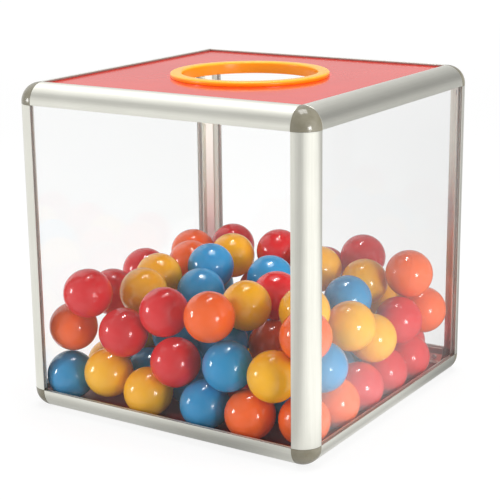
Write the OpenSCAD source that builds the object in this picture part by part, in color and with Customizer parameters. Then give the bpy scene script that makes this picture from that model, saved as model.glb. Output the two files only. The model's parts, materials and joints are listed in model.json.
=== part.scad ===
// Clear draw box: an aluminium frame of twelve quarter-round profiles and eight
// moulded corners holds four clear sides, a red lid with a hand ring and a red
// floor. A heap of coloured balls lies inside.

/* [Box] */
// Outside width, left to right
box_w = 300; // [270:5:400]
// Outside depth, front to back
box_d = 300; // [270:5:400]
// Outside height without the ring
box_h = 300; // [270:5:400]

/* [Frame profile] */
// Radius of the rounded outer face
profile_r = 17; // [15:0.5:22]
// Flat strip between the round and the profile's edge
profile_land = 1.5; // [1:0.1:3]
// Thickness of the profile's walls
profile_wall = 1.2; // [0.9:0.1:1.6]
// Distance from the profile's face in to the panel
panel_recess = 1.8; // [1.5:0.1:3]
// Depth of each panel slot
slot_depth = 5.5; // [4:0.25:7]
// How far the inner jaw of a slot stops short of the outer one
jaw_setback = 1; // [0.5:0.1:2]
// Width of one leg of the flat on the profile's inner edge
inner_flat_leg = 5.4; // [4.5:0.1:7]

/* [Corners] */
// Length of the legs that plug into the profiles
plug_l = 14; // [10:0.5:20]
// Clearance round a plugged leg
plug_gap = 0.2; // [0.1:0.05:0.4]

/* [Screws] */
// Diameter of the screw shank
screw_d = 2.9; // [2:0.1:3.5]
// Diameter of the screw head
screw_head_d = 5.2; // [4:0.1:6]
// Height of the screw head
screw_head_h = 1.6; // [1.4:0.1:2.2]
// Height of the head's straight rim
screw_rim_h = 0.8; // [0.4:0.1:1]
// Width of the cross cut into the head
cross_w = 0.8; // [0.5:0.1:1]
// Span of the cross
cross_span = 2.8; // [2:0.1:3.5]
// Depth of the cross
cross_depth = 0.9; // [0.5:0.1:1.2]
// Distance of the screw from the profile's end
screw_inset = 8; // [5:0.5:9]
// Clearance round the shank in the profile's wall
screw_hole_gap = 0.25; // [0.1:0.05:0.5]
// Clearance round the shank in the plastic leg
screw_pilot_gap = 0.05; // [0.02:0.01:0.1]
// Plastic left between the screw's tip and the profile's outer wall
screw_tip_gap = 0.6; // [0.3:0.1:1]

/* [Panels] */
// Thickness of the clear sides
panel_t = 3; // [2:0.5:4]
// Thickness of the lid and the floor
board_t = 3; // [2:0.5:4]
// Clearance on each face of a panel in its slot
panel_gap = 0.1; // [0.05:0.05:0.3]
// Clearance at each edge of a panel in its slot
panel_edge_gap = 0.5; // [0.2:0.1:1]

/* [Hand ring] */
// Diameter of the hand hole
ring_bore_d = 123; // [100:1:140]
// Width of the ring's flange, from the hole outwards
ring_flange_w = 10.5; // [7:0.5:18]
// Height of the flange above the lid
ring_flange_h = 4; // [3:0.5:6]
// Thickness of the collar that lines the hole
ring_collar_t = 3; // [2:0.5:4]
// Length of the collar below the lid's top face
ring_collar_l = 6.7; // [6:0.1:10]
// Radius of the flange's top edges
ring_edge_r = 2; // [1:0.25:2.5]
// Clearance between the collar and the hole in the lid
ring_gap = 0.3; // [0.1:0.1:0.8]
// Width of the clip ring under the lid
clip_w = 5.5; // [4:0.5:7]
// Thickness of the clip ring
clip_t = 2; // [1.5:0.25:2.5]
// Clearance between the clip ring and the collar
clip_gap = 0.1; // [0.05:0.05:0.2]

/* [Balls] */
// Diameter of a ball
ball_d = 45; // [38:1:50]
// Gap left between balls that touch
ball_gap = 0.15; // [0.05:0.05:0.3]

/* [Hidden] */
$fn = 64;

aluminium_colour = [0.80, 0.80, 0.78];
corner_colour = [0.52, 0.50, 0.42];
clear_colour = [0.90, 0.95, 0.97, 0.25];
board_colour = [0.80, 0.12, 0.14];
ring_colour = [0.98, 0.58, 0.14];
screw_colour = [0.55, 0.55, 0.56];
red_colour = [0.80, 0.16, 0.20];
orange_colour = [0.91, 0.36, 0.18];
yellow_colour = [0.93, 0.66, 0.16];
blue_colour = [0.22, 0.55, 0.80];

// One named overrun for every cut that passes through a face
over = 1;

// Section of the profile, with its outer edge at the origin
leg = profile_r + profile_land;
slot_floor = leg - slot_depth;
slot_w = panel_t + 2 * panel_gap;
board_slot_w = board_t + 2 * panel_gap;
jaw_in = panel_recess + max(slot_w, board_slot_w) + profile_wall;
jaw_reach = leg - jaw_setback;
flat_sum = 2 * jaw_in + inner_flat_leg;
flat_mid = flat_sum / 2;

// The screws go square through the inner flat, towards the outer edge
flat_depth = flat_sum / sqrt(2);
wall_depth = profile_r * sqrt(2) - (profile_r - profile_wall);
screw_l = flat_depth - wall_depth - screw_tip_gap;
screw_end = leg + screw_inset;

// The lid, the floor and the ring stand on these heights
floor_top = panel_recess + panel_gap + board_t;
lid_top = box_h - panel_recess - panel_gap;
lid_under = lid_top - board_t;
collar_d = ring_bore_d + 2 * ring_collar_t;

// How far the middle of a ball stays in from the outside: it meets the side
// panel or, if it is small, the edge of a profile's inner jaw
ball_reach = ball_d / 2 + ball_gap;
panel_in = panel_recess + slot_w;
jaw_rise = panel_in + ball_reach - jaw_reach;
ball_inset = max(panel_in + ball_reach,
                 jaw_in + sqrt(max(0, ball_reach * ball_reach - jaw_rise * jaw_rise)));
ball_pitch = ball_d + ball_gap;
span_x = box_w / 2 - ball_inset;
span_y = box_d / 2 - ball_inset;

RED = 0;
ORANGE = 1;
YELLOW = 2;
BLUE = 3;
DRAWN = 4;

// Where each ball is dropped, as shares of the free half width and half depth, with its
// colour, in the order in which the heap is filled. In a narrower box the later balls of a
// layer ride up a little between the earlier ones.
ball_shares = [
    // on the floor, first those that lie well apart, then those between them
    [-0.99, -1.00, BLUE], [-0.27, -1.00, YELLOW], [0.23, -1.00, BLUE],
    [0.99, -0.90, ORANGE], [1.00, -0.12, RED], [1.00, 0.66, RED],
    [-1.00, -0.27, ORANGE], [-0.25, -0.28, BLUE], [0.26, 0.08, BLUE],
    [-0.10, 0.47, BLUE], [-0.88, 0.48, YELLOW], [0.41, 0.86, YELLOW],
    [0.61, -1.00, ORANGE], [1.00, -0.49, ORANGE], [1.00, 0.27, RED],
    [-0.90, -0.63, YELLOW], [-0.14, -0.65, BLUE], [-0.11, 0.10, RED],
    [-0.85, 0.11, BLUE], [0.27, 0.45, ORANGE], [-0.47, 0.48, RED],
    [0.80, 0.99, RED], [-0.52, -0.64, BLUE], [0.25, -0.63, RED],
    [0.62, -0.24, BLUE], [-0.48, 0.11, YELLOW], [0.64, 0.51, BLUE],
    [0.04, 0.82, RED], [-0.70, 0.86, ORANGE], [0.63, -0.62, BLUE],
    [-0.62, -0.26, RED], [0.12, -0.28, YELLOW], [0.63, 0.13, BLUE],
    [-0.33, 0.85, BLUE],
    // second layer, in the same way
    [-0.63, -1.00, YELLOW], [-0.02, -1.00, RED], [0.80, -1.00, YELLOW],
    [1.00, 0.08, YELLOW], [1.00, 0.94, ORANGE], [0.37, -0.30, ORANGE],
    [-0.33, -0.55, BLUE], [-0.77, -0.10, RED], [0.04, 0.28, YELLOW],
    [-0.36, 0.70, ORANGE], [-0.86, 0.72, BLUE], [0.43, -1.00, BLUE],
    [1.00, -0.67, BLUE], [1.00, 0.51, RED], [-1.00, -0.94, ORANGE],
    [-0.48, -1.00, RED], [-0.70, -0.47, YELLOW], [0.04, -0.10, BLUE],
    [-0.66, 0.31, ORANGE], [0.42, 0.25, RED], [0.02, 0.66, RED],
    [0.63, 0.94, YELLOW], [0.14, -0.62, BLUE], [0.72, -0.43, ORANGE],
    [-0.40, -0.11, YELLOW],
    // top layer, in the same way
    [0.28, -1.00, ORANGE], [1.00, -0.90, ORANGE], [1.00, -0.26, YELLOW],
    [1.00, 0.68, ORANGE], [-0.80, -1.00, RED], [-1.00, -0.45, RED],
    [-0.27, -0.30, BLUE], [-0.92, 0.54, ORANGE], [0.38, -0.26, RED],
    [0.08, 0.14, DRAWN], [-0.20, 0.73, RED], [0.70, 0.25, BLUE],
    [-0.16, -0.93, RED], [0.35, -0.63, YELLOW], [-0.58, -0.61, YELLOW],
    [-1.00, -0.02, RED], [-0.40, 0.03, BLUE], [-0.55, 0.57, YELLOW],
    [0.63, 0.65, YELLOW], [0.09, 0.98, RED], [0.81, -0.59, YELLOW],
    [-0.70, -0.25, YELLOW], [-0.76, 0.90, RED], [0.25, 0.60, YELLOW],
    [-0.72, 0.22, ORANGE], [0.43, 1.00, RED]
];

// Height at which a ball dropped at x, y comes to lie on the floor or on a ball
function rest_height(x, y, heap) = max([
    floor_top + ball_reach,
    for (b = heap)
        let (apart = norm([x - b[0], y - b[1]]))
        if (apart < ball_pitch) b[2] + sqrt(ball_pitch * ball_pitch - apart * apart)
]);

// The heap, filled one ball at a time: x, y, z and colour of each
function fill(n, heap) = n == len(ball_shares) ? heap :
    let (x = ball_shares[n][0] * span_x, y = ball_shares[n][1] * span_y)
    fill(n + 1, concat(heap, [[x, y, rest_height(x, y, heap), ball_shares[n][2]]]));

// Turns a shape that runs along Z so that it runs along X or Y instead
module run_along(axis) {
    if (axis == "x") rotate([90, 0, 90]) children();
    else if (axis == "y") rotate([-90, 0, 0]) rotate([0, 0, -90]) children();
    else children();
}

module flip(dir, on) {
    if (on) mirror(dir) children();
    else children();
}

// Stands a shape drawn from the origin inwards at one of the box's corners
module at_corner(side_x, side_y, side_z) {
    translate([side_x * box_w / 2, side_y * box_d / 2, side_z > 0 ? box_h : 0])
        flip([1, 0, 0], side_x > 0)
        flip([0, 1, 0], side_y > 0)
        flip([0, 0, 1], side_z > 0)
        children();
}

// Everything inside the profile's outer faces
module outer_region() {
    difference() {
        square(leg);
        difference() {
            translate([-over, -over]) square(profile_r + over);
            translate([profile_r, profile_r]) circle(profile_r);
        }
    }
}

// The room on the box's side of the inner jaws and the inner flat
module inner_region() {
    far = leg + over;
    polygon([[jaw_in, flat_sum - jaw_in], [flat_sum - jaw_in, jaw_in],
             [far, jaw_in], [far, far], [jaw_in, far]]);
}

// The closed chamber that takes a corner's leg, drawn in by an inset
module chamber_region(inset) {
    reach = slot_floor - profile_wall - inset;
    sum = flat_sum - (profile_wall + inset) * sqrt(2);
    intersection() {
        translate([profile_r, profile_r]) circle(profile_r - profile_wall - inset);
        square(reach);
        polygon([[0, 0], [sum, 0], [0, sum]]);
    }
}

// Section of the profile: first_w and second_w are the widths of its two slots
module profile_section(first_w, second_w) {
    far = leg + over;
    difference() {
        outer_region();
        inner_region();
        chamber_region(0);
        translate([slot_floor, panel_recess]) square([far - slot_floor, first_w]);
        translate([panel_recess, slot_floor]) square([second_w, far - slot_floor]);
        translate([jaw_reach, panel_recess]) square([far - jaw_reach, jaw_in]);
        translate([panel_recess, jaw_reach]) square([jaw_in, far - jaw_reach]);
    }
}

// Brings a shape that stands on Z onto the inner flat, facing into the box
module on_flat(along) {
    translate([flat_mid, flat_mid, along]) rotate([0, 90, 45]) children();
}

// A screw with a domed head and a cross cut into it, its head's seat at the origin
module screw() {
    difference() {
        union() {
            cylinder(d = screw_head_d, h = screw_rim_h);
            intersection() {
                cylinder(d = screw_head_d, h = screw_head_h);
                translate([0, 0, screw_head_h - screw_head_d]) sphere(r = screw_head_d);
            }
            translate([0, 0, -screw_l]) cylinder(d = screw_d, h = screw_l + screw_rim_h);
        }
        for (turn = [0, 90])
            rotate([0, 0, turn])
                translate([-cross_span / 2, -cross_w / 2, screw_head_h - cross_depth])
                cube([cross_span, cross_w, cross_depth + over]);
    }
}

// A profile of the given length from its first corner, with a screw hole at each end
module profile(length, first_w, second_w) {
    color(aluminium_colour)
    difference() {
        translate([0, 0, leg]) linear_extrude(length - 2 * leg) profile_section(first_w, second_w);
        for (along = [screw_end, length - screw_end])
            on_flat(along)
                translate([0, 0, -profile_wall - over / 4])
                cylinder(d = screw_d + 2 * screw_hole_gap, h = profile_wall + over);
    }
}

module post(side_x, side_y) {
    at_corner(side_x, side_y, -1) profile(box_h, slot_w, slot_w);
}

module rail_x(side_y, side_z) {
    at_corner(-1, side_y, side_z) run_along("x") profile(box_w, board_slot_w, slot_w);
}

module rail_y(side_x, side_z) {
    at_corner(side_x, -1, side_z) run_along("y") profile(box_d, slot_w, board_slot_w);
}

// A corner's rounded outside: a ball that runs on as a quarter round along each axis
module corner_outside() {
    intersection() {
        cube(leg);
        union() {
            translate([profile_r, profile_r, profile_r]) rotate([0, -90, -45]) sphere(profile_r);
            for (axis = ["x", "y", "z"]) run_along(axis) {
                translate([profile_r, profile_r, profile_r]) cylinder(r = profile_r, h = leg);
                translate([profile_r, 0, profile_r]) cube(leg);
                translate([0, profile_r, profile_r]) cube(leg);
            }
        }
    }
}

// A moulded corner: rounded outside, slotted for the panels, one leg for each profile
module corner(side_x, side_y, side_z) {
    axes = ["x", "y", "z"];
    pocket_w = max(slot_w, board_slot_w);
    color(corner_colour)
    at_corner(side_x, side_y, side_z)
    difference() {
        union() {
            difference() {
                corner_outside();
                intersection() {
                    linear_extrude(leg + over) inner_region();
                    run_along("x") linear_extrude(leg + over) inner_region();
                    run_along("y") linear_extrude(leg + over) inner_region();
                }
                for (axis = axes)
                    run_along(axis) translate([slot_floor, panel_recess, slot_floor])
                        cube([slot_depth + over, pocket_w, slot_depth + over]);
            }
            for (axis = axes)
                run_along(axis) translate([0, 0, leg - over])
                    linear_extrude(plug_l + over) chamber_region(plug_gap);
        }
        for (axis = axes)
            run_along(axis) on_flat(screw_end)
                translate([0, 0, -screw_l])
                cylinder(d = screw_d + 2 * screw_pilot_gap, h = screw_l + over);
    }
}

module corner_screws() {
    color(screw_colour)
    for (side_x = [-1, 1], side_y = [-1, 1], side_z = [-1, 1], axis = ["x", "y", "z"])
        at_corner(side_x, side_y, side_z) run_along(axis) on_flat(screw_end) screw();
}

// A clear side, w wide along X before it is turned, with its outer face at the front
module side_panel(w) {
    edge = slot_floor + panel_edge_gap;
    color(clear_colour)
    translate([edge - w / 2, panel_recess + panel_gap, edge])
        cube([w - 2 * edge, panel_t, box_h - 2 * edge]);
}

module side_front() {
    translate([0, -box_d / 2, 0]) side_panel(box_w);
}

module side_back() {
    mirror([0, 1, 0]) side_front();
}

module side_left() {
    translate([-box_w / 2, 0, 0]) rotate([0, 0, -90]) side_panel(box_d);
}

module side_right() {
    mirror([1, 0, 0]) side_left();
}

module board() {
    edge = slot_floor + panel_edge_gap;
    translate([edge - box_w / 2, edge - box_d / 2, 0])
        cube([box_w - 2 * edge, box_d - 2 * edge, board_t]);
}

module lid_board() {
    color(board_colour)
    difference() {
        translate([0, 0, lid_under]) board();
        translate([0, 0, lid_under - over])
            cylinder(d = collar_d + 2 * ring_gap, h = board_t + 2 * over);
    }
}

module floor_board() {
    color(board_colour) translate([0, 0, floor_top - board_t]) board();
}

module hand_ring() {
    color(ring_colour)
    translate([0, 0, lid_top])
    rotate_extrude()
    translate([ring_bore_d / 2, 0]) {
        square([ring_flange_w, ring_flange_h - ring_edge_r]);
        translate([ring_edge_r, 0]) square([ring_flange_w - 2 * ring_edge_r, ring_flange_h]);
        for (x = [ring_edge_r, ring_flange_w - ring_edge_r])
            translate([x, ring_flange_h - ring_edge_r]) circle(ring_edge_r);
        translate([0, -ring_collar_l]) square([ring_collar_t, ring_collar_l + ring_flange_h / 2]);
    }
}

module clip_ring() {
    color(ring_colour)
    translate([0, 0, lid_under - clip_t])
    rotate_extrude()
    translate([collar_d / 2 + clip_gap, 0]) square([clip_w, clip_t]);
}

module balls(colour_code) {
    for (b = fill(0, [])) if (b[3] == colour_code)
        translate([b[0], b[1], b[2]]) sphere(d = ball_d);
}

post(-1, -1);  // post_front_left
post(1, -1);  // post_front_right
post(-1, 1);  // post_back_left
post(1, 1);  // post_back_right
rail_x(-1, 1);  // top_rail_front
rail_x(1, 1);  // top_rail_back
rail_y(-1, 1);  // top_rail_left
rail_y(1, 1);  // top_rail_right
rail_x(-1, -1);  // bottom_rail_front
rail_x(1, -1);  // bottom_rail_back
rail_y(-1, -1);  // bottom_rail_left
rail_y(1, -1);  // bottom_rail_right
corner(-1, -1, 1);  // corner_top_front_left
corner(1, -1, 1);  // corner_top_front_right
corner(-1, 1, 1);  // corner_top_back_left
corner(1, 1, 1);  // corner_top_back_right
corner(-1, -1, -1);  // corner_bottom_front_left
corner(1, -1, -1);  // corner_bottom_front_right
corner(-1, 1, -1);  // corner_bottom_back_left
corner(1, 1, -1);  // corner_bottom_back_right
side_front();
side_back();
side_left();
side_right();
lid_board();
floor_board();
hand_ring();
clip_ring();
corner_screws();
color(red_colour) balls(RED);  // red_balls
color(orange_colour) balls(ORANGE);  // orange_balls
color(yellow_colour) balls(YELLOW);  // yellow_balls
color(blue_colour) balls(BLUE);  // blue_balls
color(blue_colour) balls(DRAWN);  // drawn_ball
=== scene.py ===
import bmesh
import bpy
import json
import math
from mathutils import Matrix, Quaternion, Vector

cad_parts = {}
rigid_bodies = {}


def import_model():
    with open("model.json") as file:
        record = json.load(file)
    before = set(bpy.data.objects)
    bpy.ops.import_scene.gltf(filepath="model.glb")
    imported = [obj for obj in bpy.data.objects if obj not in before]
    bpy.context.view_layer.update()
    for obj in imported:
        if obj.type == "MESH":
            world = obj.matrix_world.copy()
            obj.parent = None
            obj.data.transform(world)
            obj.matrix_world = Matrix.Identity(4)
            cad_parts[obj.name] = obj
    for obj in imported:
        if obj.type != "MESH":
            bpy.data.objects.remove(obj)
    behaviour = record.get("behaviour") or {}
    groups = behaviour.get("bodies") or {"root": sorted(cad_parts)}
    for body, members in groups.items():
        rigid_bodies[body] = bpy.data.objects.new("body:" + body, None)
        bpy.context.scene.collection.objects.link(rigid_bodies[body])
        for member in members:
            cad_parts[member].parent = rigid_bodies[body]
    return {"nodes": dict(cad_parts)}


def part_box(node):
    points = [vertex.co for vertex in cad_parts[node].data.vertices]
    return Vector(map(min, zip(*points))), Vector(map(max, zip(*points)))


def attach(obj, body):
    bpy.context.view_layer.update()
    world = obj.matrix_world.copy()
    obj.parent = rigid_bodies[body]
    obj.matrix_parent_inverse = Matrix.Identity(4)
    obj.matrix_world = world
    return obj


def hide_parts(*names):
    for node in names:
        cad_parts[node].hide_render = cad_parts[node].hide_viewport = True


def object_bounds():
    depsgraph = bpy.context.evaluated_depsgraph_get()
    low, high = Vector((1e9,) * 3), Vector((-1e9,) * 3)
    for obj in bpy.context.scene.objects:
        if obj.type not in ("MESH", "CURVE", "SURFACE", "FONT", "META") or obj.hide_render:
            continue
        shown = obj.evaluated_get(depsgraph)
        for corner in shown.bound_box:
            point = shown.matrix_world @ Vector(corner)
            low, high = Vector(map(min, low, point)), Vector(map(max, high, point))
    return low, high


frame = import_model()
cad_lowest, cad_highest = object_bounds()

# The twelve frame bars: four posts, four top rails and four bottom rails, cut from one aluminium
# extrusion. It is a hollow quarter round with a slot along either side for the clear sheets, sawn
# square, deburred and satin anodised, and pushed over the legs of the moulded corners.
# Their slot walls and inner flats are painted pale, as painted light, and their lip ends dark, as
# painted shade.

MM = 0.001
BAR_RADIUS = 17 * MM
LIP_END = 18.5 * MM
SHEET_RECESS = 1.8 * MM
SLOT_WIDTH = 3.2 * MM
SLOT_FLOOR = 13 * MM
JAW_END = 17.5 * MM
JAW_FACE = 6.2 * MM
FLAT_SUM = 17.8 * MM
WALL = 1.2 * MM
LIP_ROUNDING = 0.3 * MM
LIP_STEPS = 3
END_GAP = 0.08 * MM
END_BEVEL = 0.25 * MM
END_SHARE = 0.4999
ARC_STEPS = 28
SHARP_ANGLE = math.radians(38)
SAWN_ANGLE = math.radians(60)
MARK_MARGIN = 0.06 * MM
WELD = 0.001 * MM

METAL_COLOUR = (0.835, 0.83, 0.755, 1)
METAL_DULL_COLOUR = (0.735, 0.73, 0.655, 1)
# Painted light on the slot walls and inner flat, painted shade on the lip ends, and how much of
# each face they cover.
SLOT_PAINTED_LIGHT_COLOUR = (0.90, 0.87, 0.83, 1)
LIP_END_PAINTED_SHADE_COLOUR = (0.36, 0.34, 0.31, 1)
FLAT_PAINTED_LIGHT_COLOUR = (0.96, 0.95, 0.89, 1)
SLOT_COVER = 0.9
FLAT_COVER = 0.9
LIP_END_COVER = 0.85
DIE_LINES = 5200
DIE_BANDS = 900
DIE_STRETCH = 0.012
DIE_BUMP = (0.10, 0.04 * MM)
METAL_CLOUD = 22
METAL_RUBS = 140
GRAIN_ROUGHNESS = 0.55


class Field:
    """What changes over a surface: a node's output, on which + - * / and ** add Math nodes."""

    def __init__(self, tree, output=None):
        self.tree = tree
        self.output = output

    def node(self, kind, settings={}, inputs={}, output=0):
        """Adds a node: its settings first, then the values or links of its sockets."""
        made = self.tree.nodes.new(kind)
        for name, value in settings.items():
            setattr(made, name, value)
        for name, value in inputs.items():
            if isinstance(value, Field):
                self.tree.links.new(value.output, made.inputs[name])
            else:
                made.inputs[name].default_value = value
        return Field(self.tree, made.outputs[output]) if made.outputs else None

    def maths(self, operation, *values):
        return self.node("ShaderNodeMath", {"operation": operation}, dict(enumerate(values)))

    def __add__(self, other):
        return self.maths("ADD", self, other)

    def __sub__(self, other):
        return self.maths("SUBTRACT", self, other)

    def __rsub__(self, other):
        return self.maths("SUBTRACT", other, self)

    def __mul__(self, other):
        return self.maths("MULTIPLY", self, other)

    def __truediv__(self, other):
        return self.maths("DIVIDE", self, other)

    def __pow__(self, other):
        return self.maths("POWER", self, other)

    __radd__ = __add__
    __rmul__ = __mul__

    def step(self, low, high):
        """0 below low, 1 above high, with a soft passage between them."""
        return self.node("ShaderNodeMapRange", {"interpolation_type": "SMOOTHSTEP"},
                         {"Value": self, "From Min": low, "From Max": high})

    def mix(self, low, high):
        """The colour low where this is 0 and the colour high where it is 1."""
        return self.node("ShaderNodeMix", {"data_type": "RGBA"}, {0: self, 6: low, 7: high}, 2)

    def parts(self):
        """The X, Y and Z of a place or direction."""
        outputs = self.node("ShaderNodeSeparateXYZ", {}, {"Vector": self}).output.node.outputs
        return [Field(self.tree, outputs[letter]) for letter in "XYZ"]

    def written(self, name):
        """A value that the mesh carries."""
        return self.node("ShaderNodeAttribute", {"attribute_name": name}, {}, "Fac")

    def grain(self, scale, stretch=(1, 1, 1), detail=3.0):
        """Noise, read at this place after it has been stretched."""
        place = self.node("ShaderNodeMapping", {}, {"Vector": self, "Scale": stretch})
        return self.node("ShaderNodeTexNoise", {}, {
            "Vector": place, "Scale": scale, "Detail": detail, "Roughness": GRAIN_ROUGHNESS})

    def bump(self, strength, depth):
        """The normal of a surface that this height is pressed into."""
        return self.node("ShaderNodeBump", {},
                         {"Height": self, "Strength": strength, "Distance": depth})


def new_material(name):
    """An empty material and the place on the surface that its patterns are read at."""
    material = bpy.data.materials.new(name)
    material.use_nodes = True
    material.node_tree.nodes.clear()
    return material, Field(material.node_tree).node("ShaderNodeTexCoord", output="Object")


def surface(place, shader):
    place.node("ShaderNodeOutputMaterial", {}, {"Surface": shader})


def finish(place, looks):
    """Ends a material with one principled surface."""
    surface(place, place.node("ShaderNodeBsdfPrincipled", {}, looks))


def anodised(name, along):
    """Satin aluminium with the fine lines of the die running along one axis, with painted light
    on the slot walls and inner flat and painted shade on the lip ends.
    """
    material, place = new_material(name)
    stretch = [1.0, 1.0, 1.0]
    stretch[along] = DIE_STRETCH
    lines = place.grain(DIE_LINES, stretch, 2.0)
    bands = place.grain(DIE_BANDS, stretch, 2.0)
    cloud = place.grain(METAL_CLOUD)
    rubbed = place.grain(METAL_RUBS, detail=4.0).step(0.60, 0.74)
    slot = place.written("slot")
    flat = place.written("inner flat")
    lip_end = place.written("lip end")
    dull = lines * 0.35 + bands * 0.35 + cloud * 0.3
    metal = dull.step(0.30, 0.72).mix(METAL_COLOUR, METAL_DULL_COLOUR)
    # Painted light and shade: the slot walls and inner flat are painted pale and the lip ends dark,
    # with less metal and more roughness on these faces.
    metal_with_painted_light = (slot * SLOT_COVER).mix((flat * FLAT_COVER).mix(metal, FLAT_PAINTED_LIGHT_COLOUR), SLOT_PAINTED_LIGHT_COLOUR)
    finish(place, {
        "Base Color": (lip_end * LIP_END_COVER).mix(metal_with_painted_light, LIP_END_PAINTED_SHADE_COLOUR),
        "Metallic": 0.92 - slot * 0.74 + flat * 0.04 - lip_end * 0.4,
        "Roughness": (0.27 + dull * 0.09 + rubbed * 0.04
                      + slot * 0.22 + flat * 0.13 + lip_end * 0.2),
        "Normal": (lines + bands).bump(*DIE_BUMP),
    })
    return material


def rounded(points):
    """A closed outline of (x, y, turn) points, with a small rounding wherever turn is set."""
    out = []
    for n, (x, y, turn) in enumerate(points):
        if not turn:
            out.append((x, y))
            continue
        here = Vector((x, y))
        back = (Vector(points[n - 1][:2]) - here).normalized()
        on = (Vector(points[(n + 1) % len(points)][:2]) - here).normalized()
        half = back.angle(on) / 2
        reach = LIP_ROUNDING / math.tan(half)
        centre = here + (back + on).normalized() * LIP_ROUNDING / math.sin(half)
        first = here + back * reach - centre
        last = here + on * reach - centre
        for k in range(LIP_STEPS + 1):
            spoke = first.lerp(last, k / LIP_STEPS).normalized() * LIP_ROUNDING
            out.append(tuple(centre + spoke))
    return out


def quarter_round(radius, first, last):
    """The part of a quarter circle between two shares of it, from the side on X to that on Y."""
    angles = [math.pi / 2 * (first + (last - first) * k / ARC_STEPS) for k in range(ARC_STEPS + 1)]
    return [(BAR_RADIUS - radius * math.sin(angle), BAR_RADIUS - radius * math.cos(angle), False)
            for angle in angles]


def bar_outline():
    """The bar's outside: the curve, then on either side the lip, the slot, the jaw and the flat."""
    jaw_back = SHEET_RECESS + SLOT_WIDTH
    one_side = [
        (JAW_FACE, FLAT_SUM - JAW_FACE, False), (JAW_FACE, JAW_END, True),
        (jaw_back, JAW_END, True), (jaw_back, SLOT_FLOOR, False),
        (SHEET_RECESS, SLOT_FLOOR, False), (SHEET_RECESS, LIP_END, True), (0, LIP_END, True),
    ]
    other_side = [(y, x, turn) for x, y, turn in one_side]
    curve = quarter_round(BAR_RADIUS, 0, 1)
    return rounded(curve + one_side[::-1] + other_side)


def chamber_outline():
    """The closed chamber that the corners' legs go into, one wall inside the bar's outside."""
    radius = BAR_RADIUS - WALL
    reach = SLOT_FLOOR - WALL
    total = FLAT_SUM - WALL * math.sqrt(2)
    side = math.asin((BAR_RADIUS - reach) / radius) / (math.pi / 2)
    flat = [(total - reach, reach, False), (reach, total - reach, False)]
    return rounded(quarter_round(radius, side, 1 - side) + flat)


def new_shape_tree(name, sizes):
    """An empty Geometry Nodes tree with named inputs; gives the tree and a field for each."""
    tree = bpy.data.node_groups.new(name, "GeometryNodeTree")
    tree.interface.new_socket("Geometry", in_out="INPUT", socket_type="NodeSocketGeometry")
    for title, kind in sizes.items():
        tree.interface.new_socket(title, in_out="INPUT", socket_type="NodeSocket" + kind)
    tree.interface.new_socket("Geometry", in_out="OUTPUT", socket_type="NodeSocketGeometry")
    entry = tree.nodes.new("NodeGroupInput")
    return tree, {socket.name: Field(tree, socket) for socket in entry.outputs if socket.name}


def made_plain(piece):
    """Turns a piece's modifiers into its own mesh."""
    bpy.context.view_layer.update()
    finished = piece.evaluated_get(bpy.context.evaluated_depsgraph_get())
    mesh = bpy.data.meshes.new_from_object(finished)
    mesh.name = piece.name
    piece.modifiers.clear()
    piece.data = mesh
    return piece


def grown(name, start, tree, inputs, more=()):
    """The piece that a tree, and then further modifiers, make of a simple mesh."""
    piece = bpy.data.objects.new(name, start)
    bpy.context.scene.collection.objects.link(piece)
    maker = piece.modifiers.new("maker", "NODES")
    maker.node_group = tree
    sockets = {item.name: item.identifier for item in tree.interface.items_tree
               if item.in_out == "INPUT"}
    for title, value in inputs.items():
        maker[sockets[title]] = value
    for kind, settings in more:
        extra = piece.modifiers.new(kind.lower(), kind)
        for setting, value in settings.items():
            setattr(extra, setting, value)
    return made_plain(piece)


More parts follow.
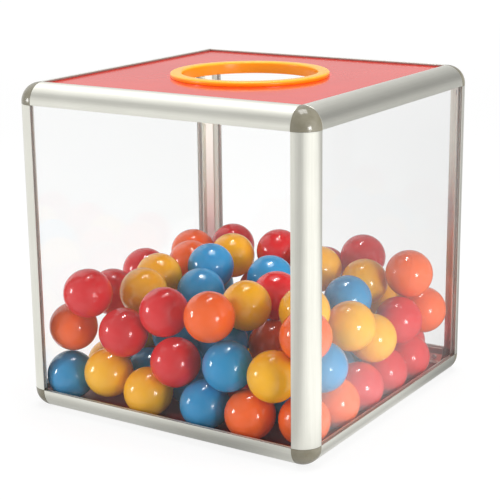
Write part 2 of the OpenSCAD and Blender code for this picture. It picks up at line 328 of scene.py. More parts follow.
def extrusion_tree():
    """Fills the section, draws it out, softens its curves and marks the slot, inner flat and lip
    end faces, which the metal paints with light and shade.
    """
    tree, size = new_shape_tree("extruded bar", {
        "Length": "Float", "Sharp Angle": "Float", "Lip End": "Float", "Recess": "Float",
        "Slot Floor": "Float", "Slot Width": "Float", "Jaw Face": "Float", "Metal": "Material"})
    start = size["Geometry"]
    curve = start.node("GeometryNodeMeshToCurve", {}, {"Mesh": start})
    section = start.node("GeometryNodeFillCurve", {"mode": "TRIANGLES"}, {"Curve": curve})
    up = start.node("ShaderNodeCombineXYZ", {}, {"Z": 1.0})
    drawn = start.node("GeometryNodeExtrudeMesh", {"mode": "FACES"}, {
        "Mesh": section, "Offset": up, "Offset Scale": size["Length"], "Individual": False})
    first_end = start.node("GeometryNodeFlipFaces", {}, {"Mesh": section})
    both = tree.nodes.new("GeometryNodeJoinGeometry")
    for part in (drawn, first_end):
        tree.links.new(part.output, both.inputs[0])
    whole = start.node("GeometryNodeMergeByDistance", {},
                       {"Geometry": Field(tree, both.outputs[0]), "Distance": WELD})
    angle = start.node("GeometryNodeInputMeshEdgeAngle")
    across, deep, height = start.node("GeometryNodeInputPosition").parts()
    from_middle = start.maths("ABSOLUTE", height - size["Length"] * 0.5)
    at_end = start.maths("GREATER_THAN", from_middle, size["Length"] * END_SHARE)
    sawn = start.maths("GREATER_THAN", angle, SAWN_ANGLE)
    smooth = start.node("GeometryNodeSetShadeSmooth", {"domain": "FACE"},
                        {"Geometry": whole, "Shade Smooth": True})
    creased = start.node("GeometryNodeSetShadeSmooth", {"domain": "EDGE"}, {
        "Geometry": smooth, "Shade Smooth": False,
        "Selection": start.maths("GREATER_THAN", angle, size["Sharp Angle"])})
    marked = start.node(
        "GeometryNodeStoreNamedAttribute", {"data_type": "FLOAT", "domain": "EDGE"},
        {"Geometry": creased, "Name": "bevel_weight_edge", "Value": at_end * sawn})
    nearer = start.maths("MINIMUM", across, deep)
    further = start.maths("MAXIMUM", across, deep)
    past_lip = start.maths("GREATER_THAN", nearer, size["Recess"] - MARK_MARGIN)
    past_slot = start.maths("GREATER_THAN", nearer,
                            size["Recess"] + size["Slot Width"] + MARK_MARGIN)
    beside = start.maths("GREATER_THAN", further, size["Slot Floor"] - MARK_MARGIN)
    past_jaw = start.maths("GREATER_THAN", nearer, size["Jaw Face"] + MARK_MARGIN)
    past_end = start.maths("GREATER_THAN", further, size["Lip End"] - MARK_MARGIN)
    # Masks for the faces that the metal paints with light (slot walls, inner flat) and with shade
    # (lip ends).
    for name, mask in (("slot", past_lip * beside * (1 - past_slot)),
                       ("inner flat", past_jaw), ("lip end", past_end)):
        marked = start.node(
            "GeometryNodeStoreNamedAttribute", {"data_type": "FLOAT", "domain": "FACE"},
            {"Geometry": marked, "Name": name, "Value": mask})
    real = start.node("GeometryNodeRealizeInstances", {}, {"Geometry": marked})
    metal = start.node("GeometryNodeSetMaterial", {}, {"Geometry": real, "Material": size["Metal"]})
    start.node("NodeGroupOutput", {}, {"Geometry": metal})
    return tree


AXES = (Vector((1, 0, 0)), Vector((0, 1, 0)), Vector((0, 0, 1)))
bar_metals = [anodised("anodised aluminium along " + letter, n) for n, letter in enumerate("XYZ")]
bar_tree = extrusion_tree()
outlines = [bar_outline(), chamber_outline()]
bar_points = [(x, y, 0) for outline in outlines for x, y in outline]
bar_edges = []
for outline in outlines:
    first = len(bar_edges)
    bar_edges += [(first + n, first + (n + 1) % len(outline)) for n in range(len(outline))]
deburr = ("BEVEL", {"width": END_BEVEL, "segments": 2, "limit_method": "WEIGHT",
                    "use_clamp_overlap": False, "harden_normals": False})

for node in sorted(frame["nodes"]):
    if "rail" not in node and "post" not in node:
        continue
    low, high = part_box(node)
    along = max(range(3), key=lambda n: high[n] - low[n])
    outward = [math.copysign(1, (low + high)[n] - (cad_lowest + cad_highest)[n]) for n in range(3)]
    across = [-AXES[n] * outward[n] for n in range(3) if n != along]
    corner = Vector([high[n] if outward[n] > 0 else low[n] for n in range(3)])
    corner[along] = low[along] + END_GAP
    if across[0].cross(across[1]).dot(AXES[along]) < 0:
        across.reverse()
    placed = Matrix((*across, AXES[along])).transposed().to_4x4()
    placed.translation = corner
    section = bpy.data.meshes.new("bar_" + node)
    section.from_pydata(bar_points, bar_edges, [])
    bar = grown("bar_" + node, section, bar_tree, {
        "Length": high[along] - low[along] - 2 * END_GAP, "Sharp Angle": SHARP_ANGLE,
        "Lip End": LIP_END, "Recess": SHEET_RECESS, "Slot Floor": SLOT_FLOOR,
        "Slot Width": SLOT_WIDTH, "Jaw Face": JAW_FACE, "Metal": bar_metals[along]}, [deburr])
    for vert in bar.data.vertices:
        vert.co.x = max(vert.co.x, 0)
        vert.co.y = max(vert.co.y, 0)
    bar.data.transform(placed)
    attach(bar, "box")
    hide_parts(node)

# The eight moulded corners: grey-brown nylon, each with three legs that plug into the bars. Their
# rounded outsides carry on the quarter round, with the fine bloom of a textured mould.

CORNER_COLOUR = (0.172, 0.158, 0.112, 1)
CORNER_WORN_COLOUR = (0.235, 0.218, 0.165, 1)
CORNER_MOTTLE = 60
CORNER_PITS = 2600
CORNER_BUMP = (0.16, 0.06 * MM)

corner_plastic, place = new_material("satin moulded plastic")
mottle = place.grain(CORNER_MOTTLE, detail=4.0)
pits = place.grain(CORNER_PITS, detail=2.0)
worn = (mottle * 0.7 + pits * 0.3).step(0.35, 0.68)
finish(place, {
    "Base Color": worn.mix(CORNER_COLOUR, CORNER_WORN_COLOUR),
    "Roughness": 0.13 + mottle * 0.12,
    "IOR": 1.5,
    "Normal": pits.bump(*CORNER_BUMP),
})
for node, part in frame["nodes"].items():
    if node.startswith("corner_") and node != "corner_screws":
        part.data.materials.clear()
        part.data.materials.append(corner_plastic)

# The corner screws: zinc-plated pan heads with a cross recess, two in each bar's inner flat, one
# at either end. They go through the bar's wall into the corner's leg and hold it.

HEAD_RADIUS = 2.6 * MM
HEAD_RIM = 0.8 * MM
HEAD_HEIGHT = 1.6 * MM
HEAD_FOOT_RADIUS = 0.94 * HEAD_RADIUS
HEAD_FOOT_RISE = 0.12 * HEAD_RIM
DOME_STEPS = 6
SHANK_RADIUS = 1.4 * MM
SHANK_LENGTH = 1.2 * MM
RECESS_WIDTH = 0.8 * MM
RECESS_SPAN = 2.8 * MM
RECESS_DEPTH = 0.9 * MM
RECESS_TAPER = 0.62
SCREW_FROM_END = 26.5 * MM
SCREW_SEED = 5
TINT_SEED_SHIFT = 7
HEAD_TURNS = 32
STEEL_COLOUR = (0.60, 0.60, 0.62, 1)
STEEL_DULL_COLOUR = (0.44, 0.43, 0.42, 1)
STEEL_SPANGLE = 700

screw_steel, place = new_material("zinc-plated steel")
spangle = place.grain(STEEL_SPANGLE)
finish(place, {
    "Base Color": spangle.step(0.4, 0.65).mix(STEEL_COLOUR, STEEL_DULL_COLOUR),
    "Metallic": 1.0,
    "Roughness": 0.26 + spangle * 0.2,
})


def turned(name, outline, turns, closed=False, wave=None):
    """A body turned about Z from an outline of (radius, height) points, with smooth faces."""
    work = bmesh.new()
    rings = []
    for n, (radius, height) in enumerate(outline):
        if radius == 0:
            rings.append([work.verts.new((0, 0, height))] * turns)
            continue
        ring = []
        for k in range(turns):
            angle = math.tau * k / turns
            out = radius + (wave(n, angle) if wave else 0)
            ring.append(work.verts.new((out * math.cos(angle), out * math.sin(angle), height)))
        rings.append(ring)
    back_to_first = rings[:1] if closed else []
    for lower, upper in zip(rings, rings[1:] + back_to_first):
        for k in range(turns):
            after = (k + 1) % turns
            loop = []
            for vert in (lower[k], lower[after], upper[after], upper[k]):
                if vert not in loop:
                    loop.append(vert)
            work.faces.new(loop)
    bmesh.ops.recalc_face_normals(work, faces=work.faces)
    for face in work.faces:
        face.smooth = True
    mesh = bpy.data.meshes.new(name)
    work.to_mesh(mesh)
    work.free()
    piece = bpy.data.objects.new(name, mesh)
    bpy.context.scene.collection.objects.link(piece)
    return piece


def screw_outline():
    """From the shank's cut end to the top of the domed head."""
    dome = []
    for k in range(DOME_STEPS + 1):
        angle = math.pi / 2 * k / DOME_STEPS
        dome.append((HEAD_RADIUS * math.cos(angle) if k < DOME_STEPS else 0,
                     HEAD_RIM + (HEAD_HEIGHT - HEAD_RIM) * math.sin(angle)))
    return [(0, -SHANK_LENGTH), (SHANK_RADIUS, -SHANK_LENGTH), (SHANK_RADIUS, 0),
            (HEAD_FOOT_RADIUS, 0), (HEAD_RADIUS, HEAD_FOOT_RISE)] + dome


def screw_shape():
    """One screw: the turned head, with the cross driven into it by a Boolean."""
    screw = turned("screw shape", screw_outline(), HEAD_TURNS)
    work = bmesh.new()
    for span in ((RECESS_SPAN, RECESS_WIDTH), (RECESS_WIDTH, RECESS_SPAN)):
        arm = bmesh.ops.create_cube(work, size=1)["verts"]
        for vert in arm:
            taper = RECESS_TAPER if vert.co.z < 0 else 1.0
            vert.co.x *= span[0] * taper
            vert.co.y *= span[1] * taper
            vert.co.z = HEAD_HEIGHT - RECESS_DEPTH + (vert.co.z + 0.5) * 2 * RECESS_DEPTH
    mesh = bpy.data.meshes.new("cross punch")
    work.to_mesh(mesh)
    work.free()
    punch = bpy.data.objects.new("cross punch", mesh)
    bpy.context.scene.collection.objects.link(punch)
    cut = screw.modifiers.new("cross", "BOOLEAN")
    cut.operation = "DIFFERENCE"
    cut.solver = "EXACT"
    cut.use_self = True
    cut.object = punch
    made_plain(screw)
    bpy.data.objects.remove(punch)
    return screw


def scatter_tree(name, upright):
    """Copies one shape onto each point: upright on the point's own direction, or tumbled."""
    tree, size = new_shape_tree(name, {"Shape": "Object", "Finish": "Material", "Seed": "Int"})
    start = size["Geometry"]
    shape = start.node("GeometryNodeObjectInfo", {}, {"Object": size["Shape"]}, "Geometry")
    if upright:
        facing = start.node("GeometryNodeInputNamedAttribute", {"data_type": "FLOAT_VECTOR"},
                            {"Name": "facing"})
        turn = start.node("FunctionNodeAlignRotationToVector", {"axis": "Z"}, {"Vector": facing})
        own = start.node("FunctionNodeRandomValue", {"data_type": "FLOAT"},
                         {2: 0.0, 3: math.tau, "Seed": size["Seed"]}, 1)
        spin = start.node("ShaderNodeCombineXYZ", {}, {"Z": own})
        turn = start.node("FunctionNodeRotateRotation", {"rotation_space": "LOCAL"},
                          {"Rotation": turn, "Rotate By": spin})
    else:
        turn = start.node("FunctionNodeRandomValue", {"data_type": "FLOAT_VECTOR"},
                          {0: (0, 0, 0), 1: (math.tau,) * 3, "Seed": size["Seed"]}, 0)
    own_tint = start.node("FunctionNodeRandomValue", {"data_type": "FLOAT"},
                          {2: 0.0, 3: 1.0, "Seed": size["Seed"] + TINT_SEED_SHIFT}, 1)
    tinted = start.node(
        "GeometryNodeStoreNamedAttribute", {"data_type": "FLOAT", "domain": "POINT"},
        {"Geometry": start, "Name": "tint", "Value": own_tint})
    copies = start.node("GeometryNodeInstanceOnPoints", {},
                        {"Points": tinted, "Instance": shape, "Rotation": turn})
    real = start.node("GeometryNodeRealizeInstances", {}, {"Geometry": copies})
    done = start.node("GeometryNodeSetMaterial", {}, {"Geometry": real, "Material": size["Finish"]})
    start.node("NodeGroupOutput", {}, {"Geometry": done})
    return tree


def scattered(name, places, tree, shape, coat, seed, facing=None):
    """One piece made of a shape copied onto each of the given places."""
    points = bpy.data.meshes.new(name)
    points.from_pydata(places, [], [])
    if facing:
        rows = points.attributes.new("facing", "FLOAT_VECTOR", "POINT")
        rows.data.foreach_set("vector", [part for row in facing for part in row])
    return grown(name, points, tree, {"Shape": shape, "Finish": coat, "Seed": seed})


corner_boxes = [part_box(node) for node in frame["nodes"] if "corner_" in node]
frame_low = Vector([min(low[k] for low, high in corner_boxes) for k in range(3)])
frame_high = Vector([max(high[k] for low, high in corner_boxes) for k in range(3)])
screw_places = []
screw_facings = []
for outward in [(x, y, z) for x in (-1, 1) for y in (-1, 1) for z in (-1, 1)]:
    corner = Vector([frame_high[n] if outward[n] > 0 else frame_low[n] for n in range(3)])
    for along in range(3):
        inward = [-AXES[n] * outward[n] for n in range(3)]
        sides = [inward[n] for n in range(3) if n != along]
        screw_places.append(corner + (sides[0] + sides[1]) * FLAT_SUM / 2
                            + inward[along] * SCREW_FROM_END)
        screw_facings.append((sides[0] + sides[1]).normalized())
one_screw = screw_shape()
screws = scattered("screws", screw_places, scatter_tree("screws on flats", True), one_screw,
                   screw_steel, SCREW_SEED, screw_facings)
bpy.data.objects.remove(one_screw)
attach(screws, "box")
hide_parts("corner_screws")

# The four clear sides: 3 mm cast acrylic sheet, polished on both faces, standing loose in the
# bars' slots. Light goes through them, and each face mirrors a little, more at a glancing angle.

SHEET_TINT = (0.996, 0.998, 0.997, 1)
SHEET_HAZE = 0.003
SHEET_WIPES = 9
SHEET_MOTES = 900
DUST_COLOUR = (0.90, 0.92, 0.93, 1)
WIPED_DUST_COLOUR = (0.84, 0.86, 0.87, 1)
STRAIGHT_MIRROR = 0.012
GLANCING_POWER = 3.8
SAWN_RIM = 0.4 * MM
SAWN_GRAIN = 1800
SAWN_COLOUR = (0.90, 0.92, 0.92, 1)
SAWN_DARK_COLOUR = (0.78, 0.81, 0.80, 1)
WHITE = (1, 1, 1, 1)

clear_sheet, place = new_material("clear acrylic sheet")
facing = place.node("ShaderNodeLayerWeight", {}, {"Blend": 0.5}, "Facing")
wipes = place.grain(SHEET_WIPES, (1, 1, 2.2)).step(0.45, 0.75)
motes = place.grain(SHEET_MOTES, detail=1.0).step(0.80, 0.86)
dust = place.node("ShaderNodeBsdfPrincipled", {}, {
    "Base Color": wipes.mix(DUST_COLOUR, WIPED_DUST_COLOUR),
    "Roughness": 0.03 + wipes * 0.02,
    "IOR": 1.49,
})
gloss = place.node("ShaderNodeBsdfGlossy", {}, {"Color": WHITE, "Roughness": 0.02})
through = place.node("ShaderNodeBsdfTransparent", {}, {"Color": SHEET_TINT})
reflected = STRAIGHT_MIRROR + (1 - STRAIGHT_MIRROR) * facing ** GLANCING_POWER
dusty = place.node("ShaderNodeMixShader", {},
                   {"Fac": SHEET_HAZE + wipes * 0.003 + motes * 0.03, 1: through, 2: dust})
body = place.node("ShaderNodeMixShader", {}, {"Fac": reflected, 1: dusty, 2: gloss})
x, y, z = place.parts()
inner_side = x.maths("MINIMUM", x.maths("ABSOLUTE", x), x.maths("ABSOLUTE", y))
upright = x.maths("ABSOLUTE", z - (cad_lowest.z + cad_highest.z) / 2)
from_edge = x.maths("MAXIMUM", inner_side, upright)
half_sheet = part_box("side_front")[1].x
sawn = place.node("ShaderNodeBsdfPrincipled", {}, {
    "Base Color": place.grain(SAWN_GRAIN, detail=2.0).mix(SAWN_COLOUR, SAWN_DARK_COLOUR),
    "Roughness": 0.55,
})
at_edge = from_edge.step(half_sheet - SAWN_RIM, half_sheet - SAWN_RIM / 2)
surface(place, place.node("ShaderNodeMixShader", {}, {"Fac": at_edge, 1: body, 2: sawn}))
for node, part in frame["nodes"].items():
    if node.startswith("side_"):
        part.data.materials.clear()
        part.data.materials.append(clear_sheet)

# The lid and the floor: red acrylic sheet in the upper and lower slots. The lid is polished, with
# faint hairlines from wiping. The floor is duller and scuffed by the balls, and its red is painted
# much darker, as painted shade under the balls and the lid.

RED_SHEET_COLOUR = (0.82, 0.026, 0.012, 1)
RED_SHEET_DEEP = (0.75, 0.020, 0.010, 1)
LID_CLOUD = 14
LID_HAIRLINES = 260
LID_BUMP = (0.05, 0.4 * MM)
# The floor sheet's red is painted far darker than the lid's, as painted shade under the balls and
# the lid.
FLOOR_SHEET_PAINTED_SHADE_COLOUR = (0.30, 0.014, 0.012, 1)
SCUFF_IN_PAINTED_SHADE_COLOUR = (0.38, 0.050, 0.045, 1)
SCUFFED_CLOUD = 22
SCUFFS = 300
SCUFF_BUMP = (0.12, 0.05 * MM)

red_sheet, place = new_material("red acrylic sheet")
cloud = place.grain(LID_CLOUD)
hairlines = place.grain(LID_HAIRLINES, (1, 0.03, 1), 2.0).step(0.62, 0.8)
finish(place, {
    "Base Color": cloud.step(0.3, 0.7).mix(RED_SHEET_COLOUR, RED_SHEET_DEEP),
    "Roughness": 0.10 + cloud * 0.06 + hairlines * 0.04,
    "IOR": 1.49,
    "Normal": (cloud + hairlines * 0.02).bump(*LID_BUMP),
})

# Painted shade: the floor sheet is the same red acrylic as the lid, painted dark; the pale scuffs
# on it are real wear.
shaded_scuffed_sheet, place = new_material("red acrylic sheet scuffed by the balls")
cloud = place.grain(SCUFFED_CLOUD, detail=4.0)
scuffs = place.grain(SCUFFS, (1, 0.12, 1)).step(0.50, 0.78)
finish(place, {
    "Base Color": (scuffs * 0.6 + cloud * 0.2).mix(FLOOR_SHEET_PAINTED_SHADE_COLOUR, SCUFF_IN_PAINTED_SHADE_COLOUR),
    "Roughness": 0.36 + cloud * 0.12 + scuffs * 0.16,
    "IOR": 1.49,
    "Normal": scuffs.bump(*SCUFF_BUMP),
})
for node, sheet in (("lid_board", red_sheet), ("floor_board", shaded_scuffed_sheet)):
    frame["nodes"][node].data.materials.clear()
    frame["nodes"][node].data.materials.append(sheet)

# The hand ring and its clip ring: glossy orange polypropylene. The ring's flange lies on the lid,
# its collar goes down through the hole, and the clip ring is pushed on to it from below.
# The orange is painted paler on the flange's top, as painted light, and deeper in the bore.

RING_COLOUR = (0.97, 0.262, 0.002, 1)
RING_PAINTED_LIGHT_COLOUR = (0.95, 0.50, 0.030, 1)
RING_BORE = 61.5 * MM
RING_FLANGE = 10.5 * MM
RING_HEIGHT = 4 * MM
RING_EDGE = 2 * MM
RING_COLLAR = 3 * MM
RING_DEPTH = 6.7 * MM
CLIP_WIDTH = 5.5 * MM
CLIP_HEIGHT = 2 * MM
CLIP_GAP = 0.1 * MM
SMALL_EDGE = 0.35 * MM
SMALL_STEPS = 3
RING_STEPS = 8
RING_TURNS = 192
RING_CLOUD = 30
RING_BUMP = (0.06, 0.6 * MM)

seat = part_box("hand_ring")[1].z - RING_HEIGHT
orange_plastic, place = new_material("glossy orange plastic")
cloud = place.grain(RING_CLOUD)
ring_height = place.node("ShaderNodeSeparateXYZ", {}, {"Vector": place}, "Z")
# Painted light: paler orange towards the top of the flange, deeper orange below it.
painted_light_on_top = ring_height.step(seat + RING_HEIGHT * 0.35, seat + RING_HEIGHT * 0.95)
finish(place, {
    "Base Color": (painted_light_on_top * 0.85 + cloud * 0.15).mix(RING_COLOUR, RING_PAINTED_LIGHT_COLOUR),
    "Roughness": 0.20 + cloud * 0.10,
    "IOR": 1.45,
    "Specular IOR Level": 0.4,
    "Normal": cloud.bump(*RING_BUMP),
})


def rounded_edge(x, z, radius, first, last, steps=SMALL_STEPS):
    """The points of one rounded edge about its middle, between two angles in degrees."""
    angles = [math.radians(first + (last - first) * k / steps) for k in range(steps + 1)]
    return [(x + radius * math.cos(angle), z + radius * math.sin(angle)) for angle in angles]


top = seat + RING_HEIGHT
outer = RING_BORE + RING_FLANGE
collar = RING_BORE + RING_COLLAR
foot = seat - RING_DEPTH
ring_outline = (
    rounded_edge(RING_BORE + SMALL_EDGE, foot + SMALL_EDGE, SMALL_EDGE, 270, 180)
    + rounded_edge(RING_BORE + RING_EDGE, top - RING_EDGE, RING_EDGE, 180, 90, RING_STEPS)
    + rounded_edge(outer - RING_EDGE, top - RING_EDGE, RING_EDGE, 90, 0, RING_STEPS)
    + rounded_edge(outer - SMALL_EDGE, seat + SMALL_EDGE, SMALL_EDGE, 0, -90)
    + rounded_edge(collar + SMALL_EDGE, seat - SMALL_EDGE, SMALL_EDGE, 90, 180)
    + rounded_edge(collar - SMALL_EDGE, foot + SMALL_EDGE, SMALL_EDGE, 0, -90))
hand_ring = turned("ring_moulding", ring_outline, RING_TURNS, closed=True)
clip_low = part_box("clip_ring")[0].z
clip_high = clip_low + CLIP_HEIGHT
clip_in = collar + CLIP_GAP
clip_out = clip_in + CLIP_WIDTH
clip_outline = (
    rounded_edge(clip_in + SMALL_EDGE, clip_low + SMALL_EDGE, SMALL_EDGE, 270, 180)
    + rounded_edge(clip_in + SMALL_EDGE, clip_high - SMALL_EDGE, SMALL_EDGE, 180, 90)
    + rounded_edge(clip_out - SMALL_EDGE, clip_high - SMALL_EDGE, SMALL_EDGE, 90, 0)
    + rounded_edge(clip_out - SMALL_EDGE, clip_low + SMALL_EDGE, SMALL_EDGE, 0, -90))
clip_ring = turned("clip_moulding", clip_outline, RING_TURNS, closed=True)
for piece, node in ((hand_ring, "hand_ring"), (clip_ring, "clip_ring")):
    piece.data.materials.append(orange_plastic)
    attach(piece, "box")
    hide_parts(node)

# The draw balls: 45 mm hollow polyethylene, blow-moulded in two halves. Each keeps the fine ridge
# of the mould's joint and, on it, the short scar where the neck was pinched off.

BALL_RADIUS = 22.5 * MM
SEAM_RISE = 0.07 * MM
SEAM_HALF_WIDTH = 0.35 * MM
SCAR_RISE = 0.08 * MM
SCAR_HALF_LENGTH = 3.2 * MM
SCAR_SIDE_SHARE = 0.5
BALL_TURNS = 56
BALL_STEPS = 11
BALL_CLOUD = 42
BALL_HANDLING = 120
BALL_BUMP = (0.10, 0.8 * MM)
SHELL_WELD = 0.02 * MM
FIRST_HEAP_SEED = 11
BALL_COLOURS = {
    "red": ((0.74, 0.014, 0.018, 1), (0.66, 0.011, 0.015, 1)),
    "orange": ((0.95, 0.140, 0.010, 1), (0.88, 0.115, 0.008, 1)),
    "yellow": ((0.96, 0.500, 0.004, 1), (0.90, 0.430, 0.003, 1)),
    "blue": ((0.018, 0.290, 0.58, 1), (0.014, 0.250, 0.52, 1)),
}


def ball_plastic(name, colour, deeper):
    material, place = new_material(name)
    tint = place.written("tint")
    cloud = place.grain(BALL_CLOUD)
    handled = place.grain(BALL_HANDLING, detail=4.0).step(0.52, 0.72)
    finish(place, {
        "Base Color": (tint * 0.7 + cloud * 0.3).mix(colour, deeper),
        "Roughness": 0.10 + cloud * 0.06 + handled * 0.06,
        "IOR": 1.5,
        "Normal": cloud.bump(*BALL_BUMP),
    })
    return material


def ball_outline():
    """From pole to pole, with the seam as a low ridge half way."""
    pole = math.pi / 2
    body = BALL_RADIUS - SEAM_RISE - SCAR_RISE
    edge = math.asin(SEAM_HALF_WIDTH / body)
    lower = [-pole + (pole - edge * 2) * k / BALL_STEPS for k in range(BALL_STEPS + 1)]
    out = []
    for angle in lower + [-edge, 0, edge] + [-angle for angle in reversed(lower)]:
        radius = body + (SEAM_RISE if angle == 0 else 0)
        out.append((radius * math.cos(angle) if abs(angle) < pole else 0,
                    radius * math.sin(angle)))
    return out


ball_rows = ball_outline()
seam_row = len(ball_rows) // 2


def scar(row, angle):
    """How far the pinch scar stands out of the seam."""
    along = min(angle, math.tau - angle) * BALL_RADIUS / SCAR_HALF_LENGTH
    rise = SCAR_RISE if row == seam_row else SCAR_RISE * SCAR_SIDE_SHARE
    return rise * max(0.0, 1 - along ** 2) if abs(row - seam_row) < 2 else 0


def ball_centres(node):
    """The middle of each ball of a node, from the separate shells in a merged copy of its mesh."""
    work = bmesh.new()
    work.from_mesh(frame["nodes"][node].data)
    bmesh.ops.remove_doubles(work, verts=work.verts, dist=SHELL_WELD)
    left = set(work.verts)
    centres = []
    while left:
        shell = []
        queue = [left.pop()]
        while queue:
            vert = queue.pop()
            shell.append(vert.co.copy())
            for edge in vert.link_edges:
                other = edge.other_vert(vert)
                if other in left:
                    left.remove(other)
                    queue.append(other)
        centres.append(Vector([(min(c[n] for c in shell) + max(c[n] for c in shell)) / 2
                               for n in range(3)]))
    work.free()
    return sorted(centres, key=lambda c: (round(c.z, 4), round(c.y, 4), round(c.x, 4)))


one_ball = turned("ball shape", ball_rows, BALL_TURNS, wave=scar)
heap_tree = scatter_tree("balls in the heap", False)
plastics = {name: ball_plastic("glossy " + name + " plastic", *pair)
            for name, pair in BALL_COLOURS.items()}
for seed, (node, colour, body) in enumerate([
        ("red_balls", "red", "box"), ("orange_balls", "orange", "box"),
        ("yellow_balls", "yellow", "box"), ("blue_balls", "blue", "box"),
        ("drawn_ball", "blue", "drawn_ball")], FIRST_HEAP_SEED):
    balls = scattered("moulded_" + node, ball_centres(node), heap_tree, one_ball,
                      plastics[colour], seed)
    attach(balls, body)
    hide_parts(node)
bpy.data.objects.remove(one_ball)

# The room: a pale ground that shows white to the camera and keeps the box's shadow. In a mirror it
# is a white room with a window on the right and a lit ceiling on the left. Each patch has a bearing
# in degrees, from the front round to the right, and cosines at which it starts and is full.
# Close beside the box the ground's mirror image is painted darker, as painted shadow of the box.

WINDOW = (77, 0.60, 0.98)
LEFT_GROUND = (-60, 0.20, 0.90)
LEFT_WALL = (-60, 0.10, 0.80)
BACK_RIGHT_GROUND = (150, 0.35, 0.85)
BACK_RIGHT_WALL = (155, 0.60, 0.95)
# The next patch is a painted shade on the ground near the box, behind it on the right.
BACK_RIGHT_PAINTED_SHADE = (148, 0.95, 0.99)
BACK_LEFT_GROUND = (-148, 0.80, 0.97)
BACK_LEFT_WALL = (-135, 0.58, 0.93)
HIGH_LEFT_WALL = (-125, 0.78, 0.95)
GROUND_LEVEL = 0.62
WALL_LEVEL = 0.40
# How far the painted shadow beside the box, and the painted shade by its front right corner, darken
# the ground.
PAINTED_BOX_SHADOW_LEVEL = 0.60
RIGHT_CORNER_PAINTED_SHADE = 0.30

FLOOR_RADIUS = 9.0
FLOOR_TURNS = 96
FLOOR_DROP = 0.2 * MM
FLOOR_COLOUR = (0.80, 0.80, 0.80, 1)
FLOOR_SHOWN_SHARE = 0.25
FLOOR_NEAR_WHITE = 1.11
FLOOR_FAR_WHITE = 1.24
WORLD_LEVEL = 0.50


class Room:
    """How bright each part of the room is in a mirror, from a place on the floor or a direction."""

    def __init__(self, x, y, z=None):
        self.span = x.maths("SQRT", x * x + y * y)
        self.x, self.y = x / self.span, y / self.span
        self.raw = (x, y, z)

    def toward(self, bearing, low, high):
        """1 near a bearing, in degrees from the front round to the right, and 0 away from it."""
        angle = math.radians(bearing)
        return (self.x * math.sin(angle) - self.y * math.cos(angle)).step(low, high)

    def ground(self):
        x, y = self.raw[:2]
        far = self.span.step(1.2, 2.2)
        window = self.toward(*WINDOW) * 0.72
        front_left = self.toward(*LEFT_GROUND) * (0.36 + far * 0.04)
        back_right = self.toward(*BACK_RIGHT_GROUND) * (0.06 - far * 0.12)
        back_left = self.toward(*BACK_LEFT_GROUND) * far * 0.50
        # Painted shadow of the box: darker ground near it behind on the right, all round close
        # beside it, and by its front right corner.
        painted_shade_back_right = self.toward(*BACK_RIGHT_PAINTED_SHADE) * (1 - far) * 0.20
        from_middle = x.maths("MAXIMUM", x.maths("ABSOLUTE", x), x.maths("ABSOLUTE", y))
        painted_box_shadow = from_middle.step(0.150, 0.185)
        painted_shade_right_corner = x.step(0.1495, 0.1505) * y.step(-0.20, -0.14) * (1 - x.step(0.16, 0.25))
        return ((GROUND_LEVEL + window + front_left + back_right + back_left - painted_shade_back_right)
                * (PAINTED_BOX_SHADOW_LEVEL + painted_box_shadow * (1 - PAINTED_BOX_SHADOW_LEVEL))
                * (1 - painted_shade_right_corner * RIGHT_CORNER_PAINTED_SHADE))

    def walls(self):
        x, y, z = self.raw
        window = self.toward(*WINDOW) * (1 - z.step(0.45, 0.75)) * 0.64
        front_left = self.toward(*LEFT_WALL) * (0.18 + 0.44 * (1 - z.step(0.10, 0.45)))
        ceiling = (x * -0.6 + y * 0.1 + z * 0.79).step(0.78, 0.97) * 0.60
        back_left = self.toward(*BACK_LEFT_WALL) * 0.22
        high_left = self.toward(*HIGH_LEFT_WALL) * z.step(0.16, 0.36) * 0.30
        low_back = self.toward(*BACK_LEFT_GROUND) * (1 - z.step(0.05, 0.11)) * 0.35
        back_right = self.toward(*BACK_RIGHT_WALL) * (
            0.10 - 0.24 * z.step(0.02, 0.28) + 0.26 * z.step(0.34, 0.55))
        return (WALL_LEVEL + window + front_left + ceiling
                + back_left + high_left + low_back + back_right)


def ray_kinds(field):
    """Masks for what the camera sees, directly or through a clear thing, and for mirror rays."""
    kinds = field.node("ShaderNodeLightPath").output.node.outputs
    seen = field.maths("MAXIMUM", Field(field.tree, kinds["Is Camera Ray"]),
                       Field(field.tree, kinds["Is Transmission Ray"]))
    return seen, Field(field.tree, kinds["Is Glossy Ray"])


floor_paint, place = new_material("pale floor")
paint = place.node("ShaderNodeBsdfDiffuse", {}, {"Color": FLOOR_COLOUR})
seen, in_mirror = ray_kinds(place)
room = Room(*place.parts()[:2])
white = FLOOR_NEAR_WHITE + (FLOOR_FAR_WHITE - FLOOR_NEAR_WHITE) * room.span.step(0.6, 4.0)
lift = place.node("ShaderNodeEmission", {}, {"Strength": white})
lit = place.node("ShaderNodeMixShader", {},
                 {"Fac": seen * (1 - FLOOR_SHOWN_SHARE), 1: paint, 2: lift})
mirrored = place.node("ShaderNodeEmission", {}, {"Strength": room.ground()})
surface(place, place.node("ShaderNodeMixShader", {}, {"Fac": in_mirror, 1: lit, 2: mirrored}))

bpy.ops.mesh.primitive_circle_add(vertices=FLOOR_TURNS, radius=FLOOR_RADIUS, fill_type="NGON",
                                  location=(0, 0, cad_lowest.z - FLOOR_DROP))
floor = bpy.context.object
floor.name = "floor"
floor.data.materials.append(floor_paint)

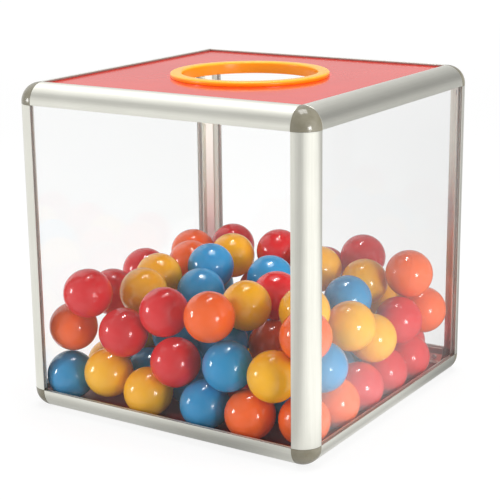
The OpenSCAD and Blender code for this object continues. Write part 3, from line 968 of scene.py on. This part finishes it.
world = bpy.data.worlds.new("white room")
bpy.context.scene.world = world
world.use_nodes = True
world.node_tree.nodes.clear()
sky = Field(world.node_tree).node("ShaderNodeTexCoord", output="Generated")
seen, in_mirror = ray_kinds(sky)
mirrored = Room(*sky.parts()).walls()
level = seen + (1 - seen) * (in_mirror * mirrored + (1 - in_mirror) * WORLD_LEVEL)
background = sky.node("ShaderNodeBackground", {}, {"Color": WHITE, "Strength": level})
sky.node("ShaderNodeOutputWorld", {}, {"Surface": background})

# The lamps: two wide lights with no mirror image, softboxes for the catch lights on the plastic, a
# narrow strip for the small lights on top of the balls, and a glow on the post at the far corner.
# The strip and the glow are shaded by the floor board alone, so they reach past the lid.

HEAP = Vector((0, 0, 0.08))
LOW_MIDDLE = Vector((0, 0, 0.10))
HIGH_MIDDLE = Vector((0, 0, 0.15))
FAR_POST_MIDDLE = Vector((-0.145, 0.145, 0.20))

glossy_pieces = bpy.data.collections.new("pieces with catch lights")
ball_pieces = bpy.data.collections.new("balls under the top strip")
floor_alone = bpy.data.collections.new("what shades the top strip")
floor_alone.objects.link(frame["nodes"]["floor_board"])
far_post = bpy.data.collections.new("post seen from inside")
far_post.objects.link(bpy.data.objects["bar_post_back_left"])
for thing in bpy.context.scene.objects:
    if thing.name.startswith(("moulded_", "ring_", "clip_", "corner_", "lid_board", "floor_board")):
        glossy_pieces.objects.link(thing)
    if thing.name.startswith("moulded_"):
        ball_pieces.objects.link(thing)


def softbox(name, place, target, size, watts, mirrored=True, only=None, shaded_by=None, spin=0.0):
    """A rectangle of light at a place, turned to a target, with an image in mirrors or none."""
    lamp = bpy.data.lights.new(name, "AREA")
    lamp.shape = "RECTANGLE"
    lamp.size, lamp.size_y = size
    lamp.energy = watts
    holder = bpy.data.objects.new(name, lamp)
    bpy.context.scene.collection.objects.link(holder)
    holder.location = place
    aim = (target - Vector(place)).to_track_quat("-Z", "Y")
    holder.rotation_euler = (aim @ Quaternion((0, 0, 1), spin)).to_euler()
    holder.visible_camera = False
    holder.visible_glossy = mirrored
    if only:
        holder.light_linking.receiver_collection = only
    if shaded_by:
        holder.light_linking.blocker_collection = shaded_by
    return holder


softbox("left light", (-1.22, -1.60, 0.90), LOW_MIDDLE, (1.0, 1.0), 8.0, mirrored=False)
softbox("right light", (1.95, 0.20, 0.55), LOW_MIDDLE, (1.0, 1.0), 16.0, mirrored=False)
softbox("left softbox", (-1.22, -1.09, 0.40), LOW_MIDDLE, (0.28, 0.38), 6.5, only=glossy_pieces)
softbox("right softbox", (1.84, -0.80, 0.30), HEAP, (0.42, 0.50), 17.0, only=glossy_pieces)
softbox("overhead softbox", (0.05, 0.05, 1.9), HIGH_MIDDLE, (0.9, 0.9), 18.0)
post_glow = softbox("post softbox", (1.15, -0.62, 0.12), FAR_POST_MIDDLE, (0.50, 0.40), 1.8,
                    only=far_post, shaded_by=floor_alone)
top_strip = softbox("top strip", (-0.08, 0.07, 1.28), HEAP, (0.40, 0.09), 4.5,
                    only=ball_pieces, shaded_by=floor_alone, spin=0.57)
top_strip.visible_diffuse = False
for past_the_lid in (post_glow, top_strip):
    past_the_lid.data.cycles.use_multiple_importance_sampling = False

# The camera stands in front of the box and to its right, above the lid, and looks a little down.
# Its turn, dip and roll are in radians, from a level view along Y.

CAMERA_PLACE = Vector((0.68253, -1.07287, 0.47545))
CAMERA_TURN = 0.5678
CAMERA_DIP = 0.2619
CAMERA_ROLL = -0.0106
CAMERA_LENS = 101.59
SENSOR_WIDTH = 36
NEAREST_SEEN = 0.01

view = Vector((-math.sin(CAMERA_TURN) * math.cos(CAMERA_DIP),
               math.cos(CAMERA_TURN) * math.cos(CAMERA_DIP), -math.sin(CAMERA_DIP)))
level_right = view.cross(AXES[2]).normalized()
level_up = level_right.cross(view)
right = level_right * math.cos(CAMERA_ROLL) + level_up * math.sin(CAMERA_ROLL)
up = level_up * math.cos(CAMERA_ROLL) - level_right * math.sin(CAMERA_ROLL)
lens = bpy.data.cameras.new("camera")
lens.sensor_width = SENSOR_WIDTH
lens.lens = CAMERA_LENS
lens.clip_start = NEAREST_SEEN
camera = bpy.data.objects.new("camera", lens)
bpy.context.scene.collection.objects.link(camera)
turned_to_box = Matrix((right, up, -view)).transposed().to_4x4()
camera.matrix_world = Matrix.Translation(CAMERA_PLACE) @ turned_to_box
bpy.context.scene.camera = camera
bpy.context.scene.view_settings.view_transform = "Standard"
